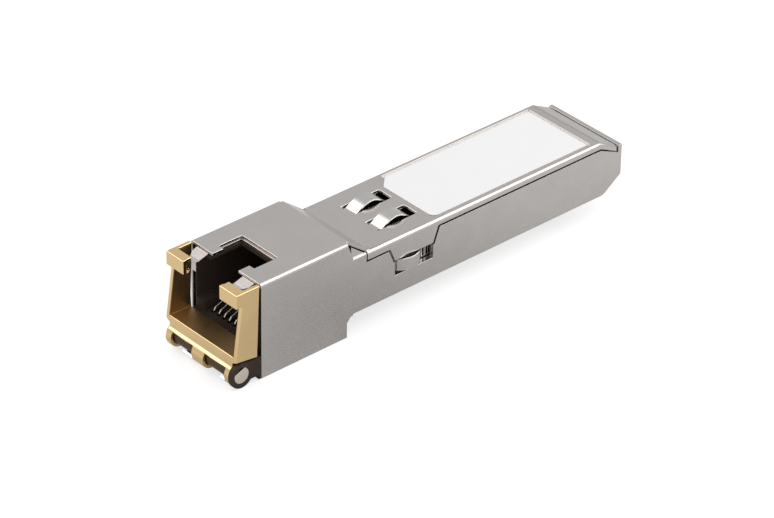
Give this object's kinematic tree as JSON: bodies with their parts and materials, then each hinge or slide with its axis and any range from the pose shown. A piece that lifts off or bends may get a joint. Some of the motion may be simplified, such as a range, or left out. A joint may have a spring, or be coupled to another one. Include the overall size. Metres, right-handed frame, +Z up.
{
  "type": "pluggable copper network module",
  "caption": "Pluggable copper network module: a plated metal shell with a modular jack port, a gold bail latch and a blank label.",
  "frame": {"origin": "centre of the part's bounding box in X and Y, on the underside of the head", "axes": "+X across the module, +Y from the jack port to the edge connector, +Z up through the label"},
  "size_m": [0.0146, 0.0672, 0.0139],
  "materials": {
    "nickel_sheet": "satin nickel plate",
    "nickel_casting": "satin nickel plate",
    "spring_steel": "bright",
    "pin_steel": "bright turned",
    "bail_gold": "pale gold plate, glossy",
    "contact_gold": "gold plate",
    "black_moulding": "fine matt",
    "label_white": "blank satin film",
    "board_green": "solder mask",
    "chip_black": "moulded",
    "pad_grey": "soft filled silicone",
    "ceramic_tan": "fired ceramic"
  },
  "bodies": {
    "shell": {"lower_housing": "nickel_casting", "top_cover": "nickel_sheet", "label": "label_white", "ground_clip": "spring_steel", "jack_housing": "black_moulding", "jack_shield": "spring_steel", "contact_carrier": "black_moulding", "circuit_board": "board_green", "edge_pads_top": "contact_gold", "edge_pads_bottom": "contact_gold", "interface_chip": "chip_black", "thermal_pad": "pad_grey", "magnetics_far": "chip_black", "magnetics_near": "chip_black", "memory_chip": "chip_black", "crystal": "spring_steel", "power_inductor": "chip_black", "voltage_regulator": "chip_black", "ceramic_capacitors": "ceramic_tan", "bail_pin": "pin_steel", "rocker_pin": "pin_steel", "contact_1": "contact_gold", "contact_2": "contact_gold", "contact_3": "contact_gold", "contact_4": "contact_gold", "contact_5": "contact_gold", "contact_6": "contact_gold", "contact_7": "contact_gold", "contact_8": "contact_gold", "rocker_spring": "spring_steel"},
    "bail_body": {"bail": "bail_gold"},
    "rocker_body": {"latch_rocker": "spring_steel"}
  },
  "joints": [
    {"name": "bail_turn", "type": "hinge", "parent": "shell", "child": "bail_body", "pos_m": [0, -0.03177, 0.00185], "axis": [1, 0, 0], "range_deg": [0, 90]},
    {"name": "rocker_tilt", "type": "hinge", "parent": "shell", "child": "rocker_body", "pos_m": [0, -0.02067, 0.0015], "axis": [1, 0, 0], "range_deg": [0, 3.2], "deforming": ["rocker_spring"]}
  ],
  "couplings": [
    {"joint": "rocker_tilt", "follows": "bail_turn", "ratio": 0.035556}
  ]
}
